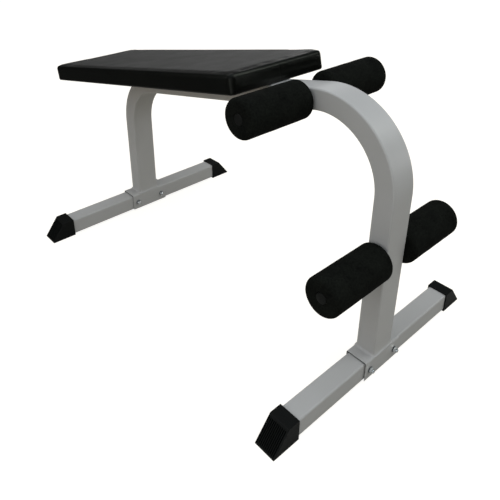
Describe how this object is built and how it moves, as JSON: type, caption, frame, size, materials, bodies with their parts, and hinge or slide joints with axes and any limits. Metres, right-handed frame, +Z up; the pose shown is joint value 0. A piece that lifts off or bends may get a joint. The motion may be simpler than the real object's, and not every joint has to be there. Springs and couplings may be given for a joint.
{
  "type": "utility bench",
  "caption": "Declined sit-up bench: a bent steel tube on cross feet carries a long vinyl pad and foam leg rollers that turn on bars.",
  "frame": {"origin": "on the floor, under the middle of the bench's bounding box", "axes": "+X runs along the bench towards the leg rollers, +Z up, +Y to the left of someone who sits on the bench and faces the rollers"},
  "size_m": [1.2984, 0.717, 0.6697],
  "materials": {
    "frame_paint": "satin",
    "zinc_steel": "satin",
    "cap_plastic": "matte",
    "plug_plastic": "satin",
    "roller_foam": "matte",
    "pad_vinyl": "satin",
    "pad_core": "matte",
    "pad_plywood": "matte"
  },
  "bodies": {
    "frame": {"main_tube": "frame_paint", "front_saddle": "frame_paint", "rear_saddle": "frame_paint", "front_base_tube": "frame_paint", "rear_base_tube": "frame_paint", "front_left_cap": "cap_plastic", "front_right_cap": "cap_plastic", "rear_left_cap": "cap_plastic", "rear_right_cap": "cap_plastic", "front_left_bolt": "zinc_steel", "front_left_head_washer": "zinc_steel", "front_left_nut_washer": "zinc_steel", "front_left_nut": "zinc_steel", "front_right_bolt": "zinc_steel", "front_right_head_washer": "zinc_steel", "front_right_nut_washer": "zinc_steel", "front_right_nut": "zinc_steel", "rear_left_bolt": "zinc_steel", "rear_left_head_washer": "zinc_steel", "rear_left_nut_washer": "zinc_steel", "rear_left_nut": "zinc_steel", "rear_right_bolt": "zinc_steel", "rear_right_head_washer": "zinc_steel", "rear_right_nut_washer": "zinc_steel", "rear_right_nut": "zinc_steel", "upper_roller_bar": "frame_paint", "lower_roller_bar": "frame_paint", "upper_left_plug": "plug_plastic", "upper_right_plug": "plug_plastic", "lower_left_plug": "plug_plastic", "lower_right_plug": "plug_plastic", "pad_cover": "pad_vinyl", "pad_foam": "pad_core", "pad_board": "pad_plywood", "pad_bolt_1": "zinc_steel", "pad_bolt_2": "zinc_steel", "pad_bolt_3": "zinc_steel", "pad_washer_1": "zinc_steel", "pad_washer_2": "zinc_steel", "pad_washer_3": "zinc_steel", "pad_tee_nut_1": "zinc_steel", "pad_tee_nut_2": "zinc_steel", "pad_tee_nut_3": "zinc_steel"},
    "upper_left_sleeve": {"upper_left_roller": "roller_foam"},
    "upper_right_sleeve": {"upper_right_roller": "roller_foam"},
    "lower_left_sleeve": {"lower_left_roller": "roller_foam"},
    "lower_right_sleeve": {"lower_right_roller": "roller_foam"}
  },
  "joints": [
    {"name": "upper_left_spin", "type": "hinge", "parent": "frame", "child": "upper_left_sleeve", "pos_m": [0.36154, 0.13, 0.61916], "axis": [0, 1, 0], "continuous": true},
    {"name": "upper_right_spin", "type": "hinge", "parent": "frame", "child": "upper_right_sleeve", "pos_m": [0.36154, -0.13, 0.61916], "axis": [0, 1, 0], "continuous": true},
    {"name": "lower_left_spin", "type": "hinge", "parent": "frame", "child": "lower_left_sleeve", "pos_m": [0.6043, 0.13, 0.321], "axis": [0, 1, 0], "continuous": true},
    {"name": "lower_right_spin", "type": "hinge", "parent": "frame", "child": "lower_right_sleeve", "pos_m": [0.6043, -0.13, 0.321], "axis": [0, 1, 0], "continuous": true}
  ]
}
